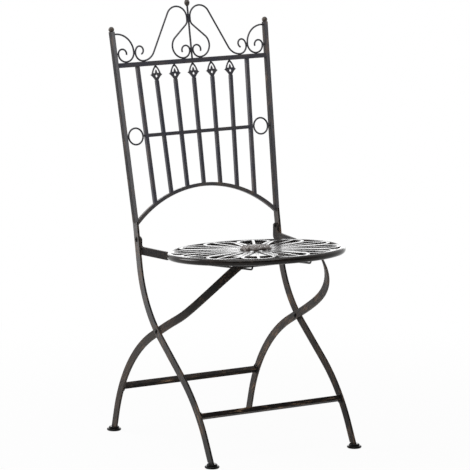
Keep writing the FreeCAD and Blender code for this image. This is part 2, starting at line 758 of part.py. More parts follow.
def add_rear_leg(name, side, outline):
    # The bar's thickness, bent inwards towards the glide bar, cut to the side outline
    lean = "90 - Sizes.drawInLean"
    plate = add_body(name + "_plate", place("0", repr(glideAxis[0]), repr(glideAxis[1]), "1; 0; 0", lean))
    slope = size("drawIn")
    eye_x = size("glideHalf") + size("glideGap") + legThick / 2 / cosd(slope) + glideRadius * tand(slope)
    past = size("legWidth")
    rest = size("drawInRest")
    first = innerLayer - size("drawInStep")
    run = (first - eye_x) / tand(slope)
    reach = math.dist(glideAxis, rearLine[-1]) + past
    points = [(eye_x - past * tand(slope), past), (first, -run),
              (innerLayer, -run - size("drawInStep") / tand(rest)), (innerLayer, -reach)]
    points = [(side * x, z) for x, z in points]
    room = run / cosd(slope) - size("drawInFlat")
    edges = bar_outline(points, [room / tand((slope - rest) / 2), size("drawInRadius")], legThick)
    pad(plate, "XZ_Plane", edges, repr(2 * reach))
    leg = doc.addObject("Part::Common", name)
    leg.Base = outline
    leg.Tool = plate
    return keep(leg, name)


def add_foot(name, side, layer, y):
    # Rounded pad with a narrower collar on it, flat below and flat under the end of the leg
    body = add_body(name, place("%d * %s" % (side, layer), y))
    wide, tall = size("footDiameter") / 2, size("footHeight")
    base, step, collar, top = 0.84 * wide, 0.84 * wide, 0.72 * wide, 0.62 * wide
    brim = 0.56 * tall
    revolve(body, "XZ_Plane", [
        line((0, 0), (base, 0)), arc((base, 0), (wide, 0.5 * brim), (step, brim)),
        line((step, brim), (collar, brim)), arc((collar, brim), (0.7 * wide, 0.85 * tall), (top, tall)),
        line((top, tall), (0, tall)), line((0, tall), (0, 0))], "V_Axis")
    return keep(body)


def add_stretcher(name, points, radii, height, layer):
    # Square bar between the legs, turned with the slope of the leg
    spot, slope = line_at(points, radii, size(height))
    body = add_body(name, place("0", repr(spot.x), "Sizes." + height, "1; 0; 0", repr(slope)))
    half = size("stretcherWidth") / 2
    section = loop([(-half, -half), (half, -half), (half, half), (-half, half)])
    pad(body, "YZ_Plane", section, "2 * %s - Sizes.legThick" % layer)
    return keep(body)


def add_rivets(name, axis):
    # A pair of rivets; the outer head lies on the front leg, the inner one leaves the turning bar free
    outer = legHalf + legThick / 2
    inner = innerLayer - legThick / 2 - legGap
    shank, head, dome = size("rivetDiameter") / 2, size("rivetHead") / 2, size("rivetDome")
    curve = (head ** 2 + dome ** 2) / (2 * dome)
    bow = math.degrees(math.asin(head / curve))
    pair = []
    for word, side in SIDES:
        body = add_body(name + "_" + word, place("0", repr(axis[0]), repr(axis[1])))
        crown = on_circle((outer + dome - curve, 0), curve, bow / 2)
        under = on_circle((inner - dome + curve, 0), curve, 180 - bow / 2)
        ends = [(inner - dome, 0), under, (inner, head), (inner, shank), (outer, shank), (outer, head),
                crown, (outer + dome, 0)]
        ends = [(side * x, r) for x, r in ends]
        revolve(body, "XZ_Plane", [
            arc(*ends[:3]), line(ends[2], ends[3]), line(ends[3], ends[4]), line(ends[4], ends[5]),
            arc(*ends[5:]), line(ends[7], ends[0])], "H_Axis")
        pair.append(body)
    group = doc.addObject("Part::Compound", name)
    group.Links = pair
    return keep(group, name)


rearOutline = add_rear_outline()
for word, side in SIDES:
    add_front_leg("front_leg_" + word, side)
    add_foot("front_foot_" + word, side, "Sizes.legHalf", "Sizes.footFrontY")
    add_rear_leg("rear_leg_" + word, side, rearOutline)
    add_foot("rear_foot_" + word, side, INNER_LAYER, "Sizes.footRearY")
add_stretcher("front_stretcher", frontLine, frontRadii, "stretcherFrontZ", "Sizes.legHalf")
add_stretcher("rear_stretcher", rearLine, rearRadii, "stretcherRearZ", INNER_LAYER)
add_rivets("fold_rivets", foldAxis)
add_rivets("seat_rivets", seatAxis)

glideBar = doc.addObject("Part::Cylinder", "glide_bar")
glideBar.setExpression("Radius", "Sizes.glideDiameter / 2")
glideBar.setExpression("Height", "2 * Sizes.glideHalf")
glideBar.setExpression("Placement", place("-Sizes.glideHalf", repr(glideAxis[0]), repr(glideAxis[1]),
                                          "0; 1; 0", "90"))
keep(glideBar, "glide_bar")


# Seat

seatRim = doc.addObject("Part::Torus", "seat_rim")
seatRim.setExpression("Radius1", INNER_LAYER + " + Sizes.seatOverhang")
seatRim.setExpression("Radius2", "Sizes.rimDiameter / 2")
seatRim.setExpression("Placement", SEAT)
keep(seatRim, "seat_rim")


latticeRing = add_body("seat_hoop", SEAT)
ringHalf = size("latticeRingThick") / 2
revolve(latticeRing, "XZ_Plane", loop([
    (size("latticeRing") - ringHalf, ringBottom), (size("latticeRing") + ringHalf, ringBottom),
    (size("latticeRing") + ringHalf, ringTop), (size("latticeRing") - ringHalf, ringTop)]), "V_Axis")
keep(latticeRing)
leafSeats = doc.addObject("Part::Compound", "leaf_seats")
leafSeats.Links = [seatRim, latticeRing]


def add_petal(name, number):
    # Drop-shaped leaf with a middle strip and an opening on each side of it, laid along +X
    spin = place("0", "0", PETAL_BOTTOM, "0; 0; 1", repr(360.0 * number / PETALS))
    body = add_body(name + "_leaf", SEAT + " * " + spin)
    half_pitch = 180.0 / PETALS
    tip = rimRadius - tubeRadius + size("weldDepth")
    wide = (tip * sind(half_pitch) - size("petalGap") / 2) / (1 + sind(half_pitch))
    eye = size("petalEye")
    far = (tip - wide, 0)
    near = (size("petalStart") + eye, 0)
    flank = math.degrees(math.acos(-(wide - eye) / (far[0] - near[0])))
    one, two = on_circle(near, eye, flank), on_circle(far, wide, flank)
    below_one, below_two = (one[0], -one[1]), (two[0], -two[1])
    outline = [line(one, two), arc(two, (tip, 0), below_two), line(below_two, below_one),
               arc(below_one, (size("petalStart"), 0), one)]
    strip, spoke = size("petalStrip"), size("petalSpoke") / 2
    lip = beside(two, direction(one, two), -strip)
    back = beside(one, direction(one, two), -strip)
    start = crossing(back, lip, (0, spoke), (1, spoke))
    end_angle = math.degrees(math.asin(spoke / (wide - strip)))
    end = on_circle(far, wide - strip, end_angle)
    bow = on_circle(far, wide - strip, (flank + end_angle) / 2)
    for side in (1, -1):
        corners = [(x, side * y) for x, y in (start, lip, bow, end)]
        outline += [line(corners[0], corners[1]), arc(*corners[1:]), line(corners[3], corners[0])]
    pad(body, "XY_Plane", outline, "Sizes.petalThick", midplane=False)
    return cut(name, body, leafSeats)


for number in range(PETALS):
    add_petal("seat_petal_%d" % (number + 1), number)


def add_rosette(name):
    # Round boss with a raised edge, a groove and a domed middle
    body = add_body(name, SEAT + " * " + place("0", "0", "Sizes.petalTop"))
    wide, rise, rim = size("rosetteDiameter") / 2, size("rosetteRise"), size("rosetteRim")
    bead, groove, dome = 0.84 * wide, 0.68 * wide, 0.6 * wide
    crown = (dome ** 2 + (rise / 2) ** 2) / rise
    bow = math.degrees(math.asin(dome / crown))
    revolve(body, "XZ_Plane", [
        line((0, 0), (wide, 0)), line((wide, 0), (wide, rim)),
        arc((wide, rim), ((wide + bead) / 2, 0.75 * rise), (bead, 0.8 * rise)),
        arc((bead, 0.8 * rise), ((bead + groove) / 2, 0.68 * rise), (groove, rise / 2)),
        line((groove, rise / 2), (dome, rise / 2)),
        turn((0, rise - crown), crown, 90 - bow, 90), line((0, rise), (0, 0))], "V_Axis")
    return keep(body)


add_rosette("seat_rosette")


def arm_end():
    # Where the middle of a turned-in arm reaches the rim, seen from above
    angle = size("armAngle")
    corner = (innerLayer, size("seatReach") - size("armLug"))
    weld = rimRadius + tubeRadius / 2
    along = corner[0] * sind(angle) + corner[1] * cosd(angle)
    run = along - math.sqrt(along ** 2 - corner[0] ** 2 - corner[1] ** 2 + weld ** 2)
    return (corner[0] - run * sind(angle), corner[1] - run * cosd(angle))


def add_arm_outline():
    # A seat arm as it is seen from the side: a bar with an upright lug round the seat rivet
    start = arm_end()[1]
    slope = size("armSlope")
    frame = place("0", repr(start), "-Sizes.armDrop", "1; 0; 0", "Sizes.armSlope")
    body = add_body("seat_arm_outline", SEAT + " * " + frame)
    along, above = size("seatReach") - start, size("pivotRise") + size("armDrop")
    reach = along * cosd(slope) + above * sind(slope)
    rise = above * cosd(slope) - along * sind(slope)
    half = size("armWidth") / 2
    inside = (rise - half) / 3
    corner = (reach - half - inside, half + inside)
    edges = [
        line((-half, half), (corner[0], half)),
        arc((corner[0], half), on_circle(corner, inside, -45), (reach - half, corner[1])),
        line((reach - half, corner[1]), (reach - half, rise)),
        arc((reach - half, rise), (reach, rise + size("lugTop")), (reach + half, rise)),
        line((reach + half, rise), (reach + half, 0)),
        arc((reach + half, 0), on_circle((reach, 0), half, -45), (reach, -half)),
        line((reach, -half), (-half, -half)), line((-half, -half), (-half, half))]
    hole = ((reach, rise), "Sizes.rivetDiameter / 2 + Sizes.rivetPlay")
    pad(body, "YZ_Plane", edges, "2 * Sizes.legHalf", [hole])
    return body


def add_seat_arm(name, side, outline):
    # The bar's thickness, flat against the leg at the rivet and turned inwards to the rim
    plate = add_body(name + "_plate", SEAT)
    end = arm_end()
    points = [(innerLayer, size("seatReach") + size("armWidth")),
              (innerLayer, size("seatReach") - size("armLug")), end]
    points = [(side * x, y) for x, y in points]
    pad(plate, "XY_Plane", bar_outline(points, [size("armBend")], legThick),
        "4 * (Sizes.pivotRise + Sizes.armWidth)")
    bar = doc.addObject("Part::Common", name + "_bar")
    bar.Base = outline
    bar.Tool = plate
    return cut(name, bar, seatRim)


def add_guide_wire(name, side):
    # From the hoop down round the resting glide bar, back along under the seat and up to the rim
    frame = SEAT + " * " + place("%d * Sizes.latticeRing * cos(Sizes.guideAngle)" % side)
    body = add_body(name + "_wire", frame)
    slope = size("guideSlope")
    centre = (glideY, glideZ - size("guidePlay"))
    turn_end = on_circle(centre, guideTurn, 270 - slope)
    rear = math.sqrt(rimRadius ** 2 - guideHalf ** 2)
    corner = (rear, turn_end[1] - (rear - turn_end[0]) * tand(slope))
    rise = bar_side([turn_end, corner, (rear, 0)], [size("guideBend")], 0)
    pipe(body, "YZ_Plane", [
        line((guideFront, ringBottom), (guideFront, centre[1])),
        turn(centre, guideTurn, 180, 270 - slope)] + side_edges(rise))
    return cut(name, body, seatRim)


armOutline = add_arm_outline()
for word, side in SIDES:
    add_seat_arm("seat_arm_" + word, side, armOutline)
    add_guide_wire("guide_wire_" + word, side)


def check_and_write():
    doc.recompute()
    for item in doc.Objects:
        if "Invalid" in item.State or "Error" in item.State:
            raise RuntimeError("failed: " + item.Label)
    for item in nodes:
        if item.Shape.isNull() or not item.Shape.isValid():
            raise RuntimeError("bad shape: " + item.Label)
    os.makedirs("parts", exist_ok=True)
    for item in nodes:
        item.Shape.exportStep(os.path.join("parts", item.Label + ".step"))
        print(item.Label, len(item.Shape.Solids), round(item.Shape.Volume, 1))


check_and_write()
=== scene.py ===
import bmesh
import bpy
import math
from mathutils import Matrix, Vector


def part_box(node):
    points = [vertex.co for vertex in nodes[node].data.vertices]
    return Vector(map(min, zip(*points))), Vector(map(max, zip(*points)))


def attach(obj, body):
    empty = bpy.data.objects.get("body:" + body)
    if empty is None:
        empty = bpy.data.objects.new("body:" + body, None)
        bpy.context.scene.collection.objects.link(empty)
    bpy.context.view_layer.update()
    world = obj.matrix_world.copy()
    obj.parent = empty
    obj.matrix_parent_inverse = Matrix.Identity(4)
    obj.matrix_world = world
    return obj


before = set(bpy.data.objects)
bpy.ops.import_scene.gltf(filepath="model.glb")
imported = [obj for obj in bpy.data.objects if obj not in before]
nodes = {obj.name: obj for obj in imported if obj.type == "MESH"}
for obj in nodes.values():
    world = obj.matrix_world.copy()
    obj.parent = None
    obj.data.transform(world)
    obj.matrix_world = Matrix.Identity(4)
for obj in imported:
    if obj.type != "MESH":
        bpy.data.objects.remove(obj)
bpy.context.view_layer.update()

print("frame loaded:", len(nodes), "nodes")

# camera, at the photograph's angle
cameraSetup = {
    "place": (-4.1444, -6.6497, 1.8074),
    "yaw": -31.843,      # degrees
    "pitch": 9.655,      # degrees, looking down
    "focal": 3552.9,     # pixels, on an image of the next width
    "image": 470,
    "sensor": 36.0,
}


def addCamera(setup):
    data = bpy.data.cameras.new("camera")
    data.sensor_width = setup["sensor"]
    data.lens = setup["focal"] / setup["image"] * setup["sensor"]
    eye = bpy.data.objects.new("camera", data)
    bpy.context.scene.collection.objects.link(eye)
    eye.location = setup["place"]
    eye.rotation_euler = (math.radians(90 - setup["pitch"]), 0, math.radians(setup["yaw"]))
    bpy.context.scene.camera = eye


addCamera(cameraSetup)
print("camera set")

# places of the two inputs and the output on a mix node
mixPlaces = {"FLOAT": (2, 3, 0), "RGBA": (6, 7, 2)}


def feed(tree, socket, value):
    # a socket takes another node's output or a fixed value
    if isinstance(value, bpy.types.NodeSocket):
        tree.links.new(value, socket)
    else:
        socket.default_value = value


def join(tree, how, one, two=0):
    node = tree.nodes.new("ShaderNodeMath")
    node.operation = how
    feed(tree, node.inputs[0], one)
    feed(tree, node.inputs[1], two)
    return node.outputs[0]


def joinVectors(tree, how, one, two=None):
    node = tree.nodes.new("ShaderNodeVectorMath")
    node.operation = how
    feed(tree, node.inputs[0], one)
    if two is not None:
        feed(tree, node.inputs["Scale" if how == "SCALE" else 1], two)
    return node.outputs["Value" if how in ("LENGTH", "DOT_PRODUCT") else "Vector"]


def blend(tree, kind, share, one, two):
    mix = tree.nodes.new("ShaderNodeMix")
    mix.data_type = kind
    first, second, result = mixPlaces[kind]
    for place, value in ((0, share), (first, one), (second, two)):
        feed(tree, mix.inputs[place], value + (1,) if isinstance(value, tuple) else value)
    return mix.outputs[result]


def fadeTo(tree, value, low, high, start=0, end=1):
    fade = tree.nodes.new("ShaderNodeMapRange")
    fade.interpolation_type = "SMOOTHSTEP"
    for name, number in (("From Min", low), ("From Max", high), ("To Min", start), ("To Max", end)):
        fade.inputs[name].default_value = number
    feed(tree, fade.inputs["Value"], value)
    return fade.outputs[0]


def seenWhite(tree):
    # 1 for what the camera sees directly, in gloss or through glass
    path = tree.nodes.new("ShaderNodeLightPath")
    either = path.outputs["Is Camera Ray"]
    for ray in ("Is Glossy Ray", "Is Transmission Ray"):
        either = join(tree, "MAXIMUM", either, path.outputs[ray])
    return either


# light: a white surround that is dim in front, a broad lamp overhead, one on the left and a low one behind
lightSetup = {
    "bright": 0.55,              # surround behind the chair, as light
    "dim": 0.08,                 # surround in front of it
    "gloss": 0.12,               # surround in front, as a glossy face shows it
    "front": (-0.35, -0.94, 0),  # way to the dim side
    "lightBand": (-0.5, 0.6),    # share of that way over which the light fades
    "glossBand": (-0.1, 0.7),
    "lamps": [
        # name, place, aimed at, width, height, watts
        ("overhead", (-0.5, -0.5, 2.6), (0, 0, 0.5), 2.0, 2.0, 44),
        ("left", (-1.7, 1.7, 1.5), (0, 0, 0.5), 1.2, 1.2, 34),
        ("behind", (1.58, 2.49, 0.78), (0, -0.06, 0.45), 2.2, 1.0, 13),
    ],
}


def addSurround(setup):
    world = bpy.data.worlds.new("surround")
    bpy.context.scene.world = world
    world.use_nodes = True
    tree = world.node_tree
    back = tree.nodes["Background"]
    back.inputs["Color"].default_value = (1, 1, 1, 1)
    way = tree.nodes.new("ShaderNodeTexCoord").outputs["Generated"]
    facing = joinVectors(tree, "DOT_PRODUCT", way, setup["front"])
    asLight = fadeTo(tree, facing, *setup["lightBand"], setup["bright"], setup["dim"])
    asGloss = fadeTo(tree, facing, *setup["glossBand"], 1, setup["gloss"])
    shown = blend(tree, "FLOAT", seenWhite(tree), asLight, asGloss)
    direct = tree.nodes.new("ShaderNodeLightPath").outputs["Is Camera Ray"]
    feed(tree, back.inputs["Strength"], blend(tree, "FLOAT", direct, shown, 1))


def addLamp(name, place, aim, width, height, watts):
    data = bpy.data.lights.new(name, "AREA")
    data.shape = "RECTANGLE"
    data.size = width
    data.size_y = height
    data.energy = watts
    lamp = bpy.data.objects.new(name, data)
    bpy.context.scene.collection.objects.link(lamp)
    lamp.visible_camera = False
    lamp.location = place
    x, y, z = (a - b for a, b in zip(place, aim))
    lamp.rotation_euler = (math.atan2(math.hypot(x, y), z), 0, math.atan2(x, -y))


addSurround(lightSetup)
for lamp in lightSetup["lamps"]:
    addLamp(*lamp)

# floor: pale, keeps the chair's shadow and runs out into the white surround
floorSetup = {
    "size": 12.0,
    "drop": 0.0005,      # metres below the feet
    "shade": 0.6,
    "near": 0.45,        # metres from the middle, where the floor starts to fade
    "far": 1.5,          # where it is as white as the surround
    "keep": 0.05,        # share of the shaded floor below the chair
}


def addFloor(setup):
    bpy.ops.object.select_all(action="DESELECT")
    bpy.ops.mesh.primitive_plane_add(size=setup["size"], location=(0, 0, -setup["drop"]))
    floor = bpy.context.object
    floor.name = "floor"
    pale = bpy.data.materials.new("paleFloor")
    pale.use_nodes = True
    tree = pale.node_tree
    tree.nodes.remove(tree.nodes["Principled BSDF"])
    spot = tree.nodes.new("ShaderNodeTexCoord").outputs["Object"]
    away = joinVectors(tree, "LENGTH", spot)
    fade = fadeTo(tree, away, setup["near"], setup["far"], 1 - setup["keep"], 1)
    matt = tree.nodes.new("ShaderNodeBsdfDiffuse")
    matt.inputs["Color"].default_value = (setup["shade"], setup["shade"], setup["shade"], 1)
    white = tree.nodes.new("ShaderNodeEmission")
    mix = tree.nodes.new("ShaderNodeMixShader")
    seen = join(tree, "MULTIPLY", fade, seenWhite(tree))
    for socket, value in zip(mix.inputs, (seen, matt.outputs[0], white.outputs[0])):
        feed(tree, socket, value)
    feed(tree, tree.nodes["Material Output"].inputs["Surface"], mix.outputs[0])
    floor.data.materials.append(pale)


addFloor(floorSetup)
bpy.context.scene.view_settings.view_transform = "Standard"
print("light and floor set")


def pick(piece):
    bpy.ops.object.select_all(action="DESELECT")
    piece.select_set(True)
    bpy.context.view_layer.objects.active = piece


def pickPoints(piece, wanted):
    # in edit mode, selects the points whose place passes
    bpy.ops.mesh.select_all(action="DESELECT")
    mesh = bmesh.from_edit_mesh(piece.data)
    for point in mesh.verts:
        point.select = wanted(point.co)
    mesh.select_flush_mode()
    bmesh.update_edit_mesh(piece.data)


def settle(piece, place=(0, 0, 0), turn=(0, 0, 0)):
    # moves and turns a piece, then puts its place into its mesh
    pick(piece)
    piece.location = place
    piece.rotation_euler = [math.radians(angle) for angle in turn]
    bpy.ops.object.transform_apply(location=True, rotation=True, scale=True)


def copyOf(piece):
    pick(piece)
    bpy.ops.object.duplicate(linked=False)
    return bpy.context.object


# rosette relief: two rings of veined leaves and a button, on the CAD boss in the middle of the seat
rosetteSetup = {
    "tilt": 4.0,               # degrees, front of the seat up
    "edge": 0.003,             # height of the CAD boss at its edge
    "segments": 24,            # of the ball that a leaf is cut from
    "ringCount": 14,
    "cut": 0.0001,             # height above the ball's middle
    "veinWide": 0.03,          # share of the leaf's width that sinks in
    "veinFrom": 0.3,           # share of its rise above which it does
    "smooth": 50,              # degrees, sharper edges stay sharp
    "leaves": [
        # metres and degrees; middle and height are from the axis and from the underside of the boss
        {"count": 12, "middle": 0.0277, "height": 0.0047, "slope": 0, "long": 0.0136, "wide": 0.0148,
         "rise": 0.0032, "vein": 0.0012, "taper": 0.5},
        {"count": 8, "middle": 0.0125, "height": 0.0061, "slope": 12.6, "long": 0.0165, "wide": 0.0100,
         "rise": 0.0023, "vein": 0.0009, "taper": 0.9},
        {"count": 1, "middle": 0, "height": 0.0074, "slope": 0, "long": 0.0096, "wide": 0.0096,
         "rise": 0.0022, "vein": 0.0, "taper": 0.0},
    ],
}


def addLeaf(setup, shape):
    # half a flattened ball, narrower towards the axis, with a vein along its back
    bpy.ops.object.select_all(action="DESELECT")
    bpy.ops.mesh.primitive_uv_sphere_add(segments=setup["segments"], ring_count=setup["ringCount"], radius=0.5)
    leaf = bpy.context.object
    veinSide, veinLow = setup["veinWide"] * shape["wide"], setup["veinFrom"] * shape["rise"]
    bpy.ops.object.mode_set(mode="EDIT")
    bpy.ops.mesh.select_mode(type="VERT")
    bpy.ops.transform.resize(value=(shape["long"], shape["wide"], 2 * shape["rise"]), center_override=(0, 0, 0))
    bpy.ops.mesh.bisect(plane_co=(0, 0, setup["cut"]), plane_no=(0, 0, 1), use_fill=True, clear_inner=True)
    pickPoints(leaf, lambda spot: abs(spot.y) < veinSide and spot.z > veinLow)
    bpy.ops.transform.translate(value=(0, 0, -shape["vein"]))
    bpy.ops.object.mode_set(mode="OBJECT")
    narrow = leaf.modifiers.new("narrow", "SIMPLE_DEFORM")
    narrow.deform_method = "TAPER"
    narrow.deform_axis = "X"
    narrow.factor = shape["taper"]
    bpy.ops.object.modifier_apply(modifier=narrow.name)
    bpy.ops.object.shade_smooth_by_angle(angle=math.radians(setup["smooth"]))
    settle(leaf, (shape["middle"], 0, shape["height"]), (0, shape["slope"], 0))
    return leaf


def addRosette(setup):
    leaves = []
    for shape in setup["leaves"]:
        leaf = addLeaf(setup, shape)
        leaves.append(leaf)
        for step in range(1, shape["count"]):
            leaves.append(copyOf(leaf))
            settle(leaves[-1], turn=(0, 0, 360 * step / shape["count"]))
    pick(leaves[0])
    for leaf in leaves:
        leaf.select_set(True)
    bpy.ops.object.join()
    relief = bpy.context.object
    relief.name = "rosette_relief"
    low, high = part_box("seat_rosette")
    slant = math.sin(math.radians(setup["tilt"]))
    middle = ((low.x + high.x) / 2, (low.y + high.y - setup["edge"] * slant) / 2,
              low.z + (high.x - low.x) / 2 * slant)
    settle(relief, middle, (-setup["tilt"], 0, 0))
    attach(relief, "seat")
    return relief


relief = addRosette(rosetteSetup)
print("rosette relief made")

# weld beads where the stretchers meet the legs
beadSetup = {
    "reach": 0.0069,       # ring round the end of the bar
    "thick": 0.0029,
    "segments": 48,        # along the ring
    "sides": 12,           # round its section
    "square": 0.5,         # share of the way from a round ring to a square one
    "ripple": 0.0016,
    "rippleSize": 0.0045,
    "ends": [
        # node, body, slot, slope of the leg in degrees
        ("front_stretcher", "back_frame", "leg_paint", -22),
        ("rear_stretcher", "rear_legs", "leg_paint", 18),
    ],
}


def addBead(setup):
    bpy.ops.object.select_all(action="DESELECT")
    bpy.ops.mesh.primitive_torus_add(major_segments=setup["segments"], minor_segments=setup["sides"],
                                     major_radius=setup["reach"], minor_radius=setup["thick"])
    bead = bpy.context.object
    settle(bead, turn=(0, 90, 0))
    square = bead.modifiers.new("square", "CAST")
    square.cast_type = "CUBOID"
    square.use_x = False
    square.factor = setup["square"]
    bpy.ops.object.modifier_apply(modifier=square.name)
    clouds = bpy.data.textures.new("weldRipple", "CLOUDS")
    clouds.noise_scale = setup["rippleSize"]
    ripple = bead.modifiers.new("ripple", "DISPLACE")
    ripple.texture = clouds
    ripple.strength = setup["ripple"]
    bpy.ops.object.modifier_apply(modifier=ripple.name)
    bpy.ops.object.shade_smooth()
    return bead


def addBeads(setup):
    first = addBead(setup)
    beads = []
    for node, body, slot, slope in setup["ends"]:
        low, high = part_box(node)
        for word, across in (("left", low.x), ("right", high.x)):
            bead = copyOf(first)
            bead.name = node + "_weld_" + word
            settle(bead, (across, (low.y + high.y) / 2, (low.z + high.z) / 2), (slope, 0, 0))
            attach(bead, body)
            beads.append(bead)
    bpy.data.objects.remove(first)
    return beads


beads = addBeads(beadSetup)
print("weld beads made:", len(beads))

# paint: clouded lacquer over bronze, rubbed thin in streaks and along the edges, and on some bars painted light
# and shade: paler coats where light falls, darker ones in shade
paintSetup = {
    # noise of a layer: scale, detail, roughness, and the levels between which it fades in
    "cloud": (38, 3, 0.55, 0.38, 0.66),    # where the lacquer turns warm
    "patch": (17, 2, 0.5, 0.36, 0.62),     # where the streaks gather
    "nick": (150, 4, 0.65, 0.34, 0.68),    # breaks along the worn edges
    # noise with a scale of each finish's own: detail, roughness
    "streak": (5, 0.6),
    "grain": (4, 0.6),
    "grainBand": (0.3, 0.7),               # levels between which the finish goes from smooth to rough
    "pores": (420, 2, 0.5),                # scale, detail, roughness
    "poreShare": 0.35,                     # of the bump
    "bumpHeight": 0.0006,
    "rubbedDull": 0.12,                    # roughness that rubbing adds
    "edgeBand": (0.03, 0.3),               # from a slight bend to a worn edge
    "edgeSamples": 6,
    "brushAround": 0.12,                   # brushing of the seat changes by this much around it
    "brushOut": 0.08,                      # and by this much per metre outwards
}


def noiseOf(tree, coords, scale, detail, rough):
    noise = tree.nodes.new("ShaderNodeTexNoise")
    noise.inputs["Scale"].default_value = scale
    noise.inputs["Detail"].default_value = detail
    noise.inputs["Roughness"].default_value = rough
    feed(tree, noise.inputs["Vector"], coords)
    return noise.outputs["Fac"]


def spotsOf(tree, coords, scale, detail, rough, low, high):
    return fadeTo(tree, noiseOf(tree, coords, scale, detail, rough), low, high)


def edgeOf(tree, radius):
    # 0 on the flat, towards 1 where a bevel of this radius would turn the surface
    bevel = tree.nodes.new("ShaderNodeBevel")
    bevel.samples = paintSetup["edgeSamples"]
    bevel.inputs["Radius"].default_value = radius
    surface = tree.nodes.new("ShaderNodeNewGeometry")
    same = joinVectors(tree, "DOT_PRODUCT", bevel.outputs["Normal"], surface.outputs["Normal"])
    return join(tree, "SUBTRACT", 1, same)


def brushedOut(tree, place, centre):
    # coordinates for streaks that run out from the middle of the seat
    outwards = joinVectors(tree, "SUBTRACT", place, centre)
    way = joinVectors(tree, "NORMALIZE", outwards)
    around = joinVectors(tree, "SCALE", way, paintSetup["brushAround"])
    far = joinVectors(tree, "LENGTH", outwards)
    step = tree.nodes.new("ShaderNodeCombineXYZ")
    feed(tree, step.inputs["Z"], join(tree, "MULTIPLY", far, paintSetup["brushOut"]))
    return joinVectors(tree, "ADD", around, step.outputs[0])


def brushedAlong(tree, place, turn, stretch):
    # coordinates for streaks that run along a bar
    along = tree.nodes.new("ShaderNodeMapping")
    along.vector_type = "TEXTURE"
    along.inputs["Rotation"].default_value = [math.radians(angle) for angle in turn]
    along.inputs["Scale"].default_value = stretch
    feed(tree, along.inputs["Vector"], place)
    return along.outputs[0]


def paintedLightShare(tree, place, setup):
    # painted light and shade: where the coat is paler as if lit, between two heights, and on the sides of a bar
    # or between them
    split = tree.nodes.new("ShaderNodeSeparateXYZ")
    feed(tree, split.inputs[0], place)
    shares = []
    if "paleHeights" in setup:
        shares.append(fadeTo(tree, split.outputs["Z"], *setup["paleHeights"]))
    if "paleSides" in setup:
        foot, lean = setup["bar"]
        middle = join(tree, "ADD", join(tree, "MULTIPLY", split.outputs["Z"], lean), foot)
        aside = join(tree, "SUBTRACT", join(tree, "ABSOLUTE", split.outputs["X"]), middle)
        shares.append(fadeTo(tree, join(tree, "ABSOLUTE", aside), *setup["paleSides"]))
    return join(tree, "MULTIPLY", *shares) if len(shares) == 2 else shares[0]


def barOf(node, width):
    # middle of an upright bar, as its distance from the chair's middle on the floor and its lean per metre
    low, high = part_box(node)
    near, far = sorted((abs(low.x), abs(high.x)))
    lean = (far - near - width) / (high.z - low.z)
    return near + width / 2 - lean * low.z, lean


def rubbedLacquerAndPaintedLight(name, setup):
    paint = bpy.data.materials.new(name)
    paint.use_nodes = True
    tree = paint.node_tree
    shader = tree.nodes["Principled BSDF"]
    place = tree.nodes.new("ShaderNodeTexCoord").outputs["Object"]
    if "centre" in setup:
        drawn = brushedOut(tree, place, setup["centre"])
    else:
        drawn = brushedAlong(tree, place, setup["turn"], setup["stretch"])
    cloud = spotsOf(tree, place, *paintSetup["cloud"])
    colour = blend(tree, "RGBA", cloud, setup["lacquer"], setup["warm"])
    # painted light and shade: a pale coat where light falls, the plain coat where shade falls
    if "pale" in setup:
        colour = blend(tree, "RGBA", paintedLightShare(tree, place, setup), colour, setup["pale"])
    streak = spotsOf(tree, drawn, setup["streakScale"], *paintSetup["streak"], *setup["streakBand"])
    patch = spotsOf(tree, place, *paintSetup["patch"])
    rubbed = join(tree, "MULTIPLY", join(tree, "MULTIPLY", streak, patch), setup["streakShare"])
    colour = blend(tree, "RGBA", rubbed, colour, setup["bronze"])
    nick = spotsOf(tree, place, *paintSetup["nick"])
    edge = fadeTo(tree, edgeOf(tree, setup["edge"]), *paintSetup["edgeBand"])
    worn = join(tree, "MULTIPLY", join(tree, "MULTIPLY", edge, nick), setup["edgeShare"])
    colour = blend(tree, "RGBA", worn, colour, setup["bare"])
    feed(tree, shader.inputs["Base Color"], colour)
    grain = noiseOf(tree, drawn, setup["grain"], *paintSetup["grain"])
    dull = fadeTo(tree, grain, *paintSetup["grainBand"], *setup["rough"])
    dull = join(tree, "ADD", dull, join(tree, "MULTIPLY", rubbed, paintSetup["rubbedDull"]))
    feed(tree, shader.inputs["Roughness"], dull)
    shader.inputs["Specular IOR Level"].default_value = setup["shine"]
    shader.inputs["Coat Weight"].default_value = setup["coat"]
    shader.inputs["Coat Roughness"].default_value = setup["coatRough"]
    pores = join(tree, "MULTIPLY", noiseOf(tree, place, *paintSetup["pores"]), paintSetup["poreShare"])
    bump = tree.nodes.new("ShaderNodeBump")
    bump.inputs["Strength"].default_value = setup["bump"]
    bump.inputs["Distance"].default_value = paintSetup["bumpHeight"]
    feed(tree, bump.inputs["Height"], join(tree, "ADD", grain, pores))
    feed(tree, shader.inputs["Normal"], bump.outputs[0])
    return paint


seatLow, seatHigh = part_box("seat_rim")
legLow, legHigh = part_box("front_leg_left")
stileHalf = 0.005                # half the width of a stile
legHalf = (legHigh.x - legLow.x) / 2
# sideSkin and the fades below bound the painted light on the faces of the stiles and front legs
sideSkin = 0.0003                # metres from a bar's side face, counted as part of it
stileFade = 0.0015               # and where the other coat is full
legFade = 0.0010
backLean = (-10.2, 0, 0)         # degrees, streaks run with the bars
frontLegLean = (-33, 0, 0)
rearLegLean = (44, 0, 0)
even = (1, 1, 1)                 # no streaks drawn out

# painted light: the stiles are paler between their sides, on the faces that light falls on, the front legs on
# their sides
paintedLightBetweenSides = {
    "bar": barOf("stile_left", 2 * stileHalf),
    "paleSides": (stileHalf - sideSkin, stileHalf - stileFade),
}
paintedLightOnSides = {
    "bar": barOf("front_leg_left", 2 * legHalf),
    "paleSides": (legHalf - legFade, legHalf - sideSkin),
}

